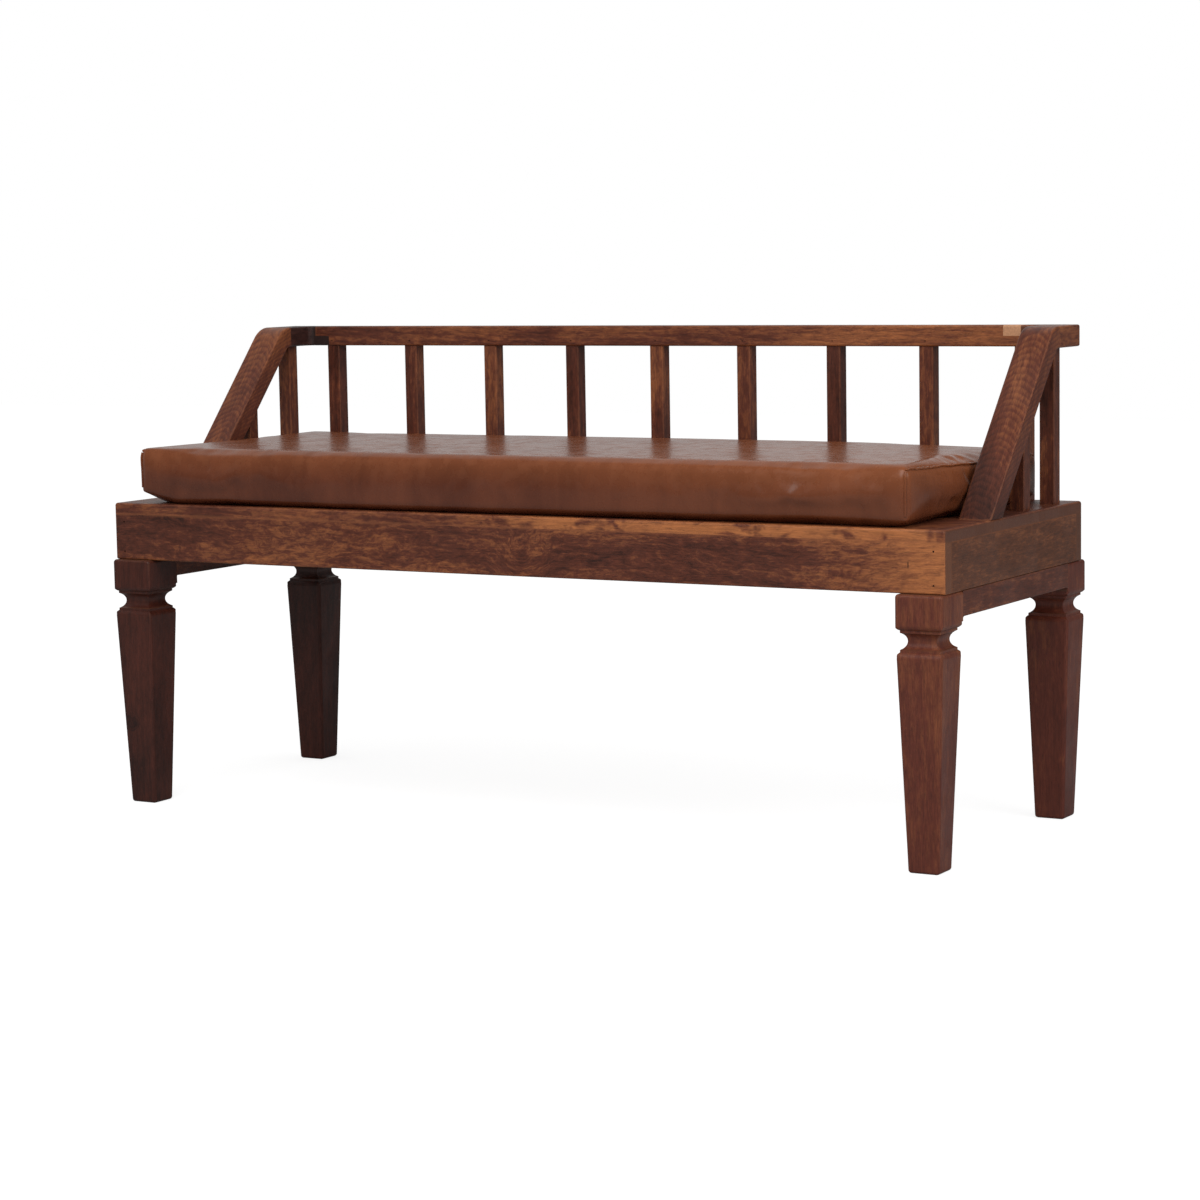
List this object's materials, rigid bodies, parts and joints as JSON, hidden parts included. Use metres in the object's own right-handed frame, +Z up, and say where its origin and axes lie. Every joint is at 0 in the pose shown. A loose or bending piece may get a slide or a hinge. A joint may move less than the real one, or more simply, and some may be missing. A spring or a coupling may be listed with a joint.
{
  "type": "bench",
  "caption": "Low deacons bench: boxed plank seat on tapered square legs, square spindle back, sloped arms and a loose leather seat cushion; seats people in a hall or porch.",
  "frame": {"origin": "On the floor, below the middle of the four legs' outline.", "axes": "+X along the bench towards its right end as seen from the front, +Y from the front to the back, +Z up."},
  "size_m": [1.153, 0.433, 0.6],
  "materials": {
    "stained_wood": "chestnut brown stain under satin lacquer, worn a little paler at the edges",
    "plain_wood": "planed wood without stain, inside the seat box and the joints",
    "leather": "dark brown leather, soft sheen, lightly mottled",
    "foam": "cream upholstery foam",
    "steel": "plain zinc-plated steel"
  },
  "bodies": {
    "bench": {"seat_board_1": "stained_wood", "seat_board_2": "stained_wood", "seat_board_3": "stained_wood", "front_apron": "stained_wood", "back_apron": "stained_wood", "left_apron": "stained_wood", "right_apron": "stained_wood", "left_batten": "plain_wood", "centre_batten": "plain_wood", "right_batten": "plain_wood", "front_left_leg": "stained_wood", "front_right_leg": "stained_wood", "back_left_leg": "stained_wood", "back_right_leg": "stained_wood", "front_left_corner_block": "plain_wood", "front_right_corner_block": "plain_wood", "back_left_corner_block": "plain_wood", "back_right_corner_block": "plain_wood", "left_end_rail": "stained_wood", "right_end_rail": "stained_wood", "left_arm": "stained_wood", "right_arm": "stained_wood", "left_corner_piece": "stained_wood", "right_corner_piece": "stained_wood", "left_long_post": "stained_wood", "right_long_post": "stained_wood", "left_short_spindle": "stained_wood", "right_short_spindle": "stained_wood", "back_spindle_1": "stained_wood", "back_spindle_2": "stained_wood", "back_spindle_3": "stained_wood", "back_spindle_4": "stained_wood", "back_spindle_5": "stained_wood", "back_spindle_6": "stained_wood", "back_spindle_7": "stained_wood", "back_spindle_8": "stained_wood", "back_spindle_9": "stained_wood", "top_rail": "stained_wood", "arm_dowels": "plain_wood", "leg_bolts": "steel", "leg_bolt_washers": "steel", "corner_block_screws": "steel", "end_rail_screws": "steel", "seat_board_screws": "steel", "arm_screws": "steel", "apron_nails": "steel", "rail_brads": "steel"},
    "cushion": {"cushion_cover": "leather", "cushion_foam": "foam"}
  },
  "joints": [
    {"name": "cushion_lift", "type": "slide", "parent": "bench", "child": "cushion", "axis": [0, 0, 1], "range_m": [0, 0.25]}
  ]
}
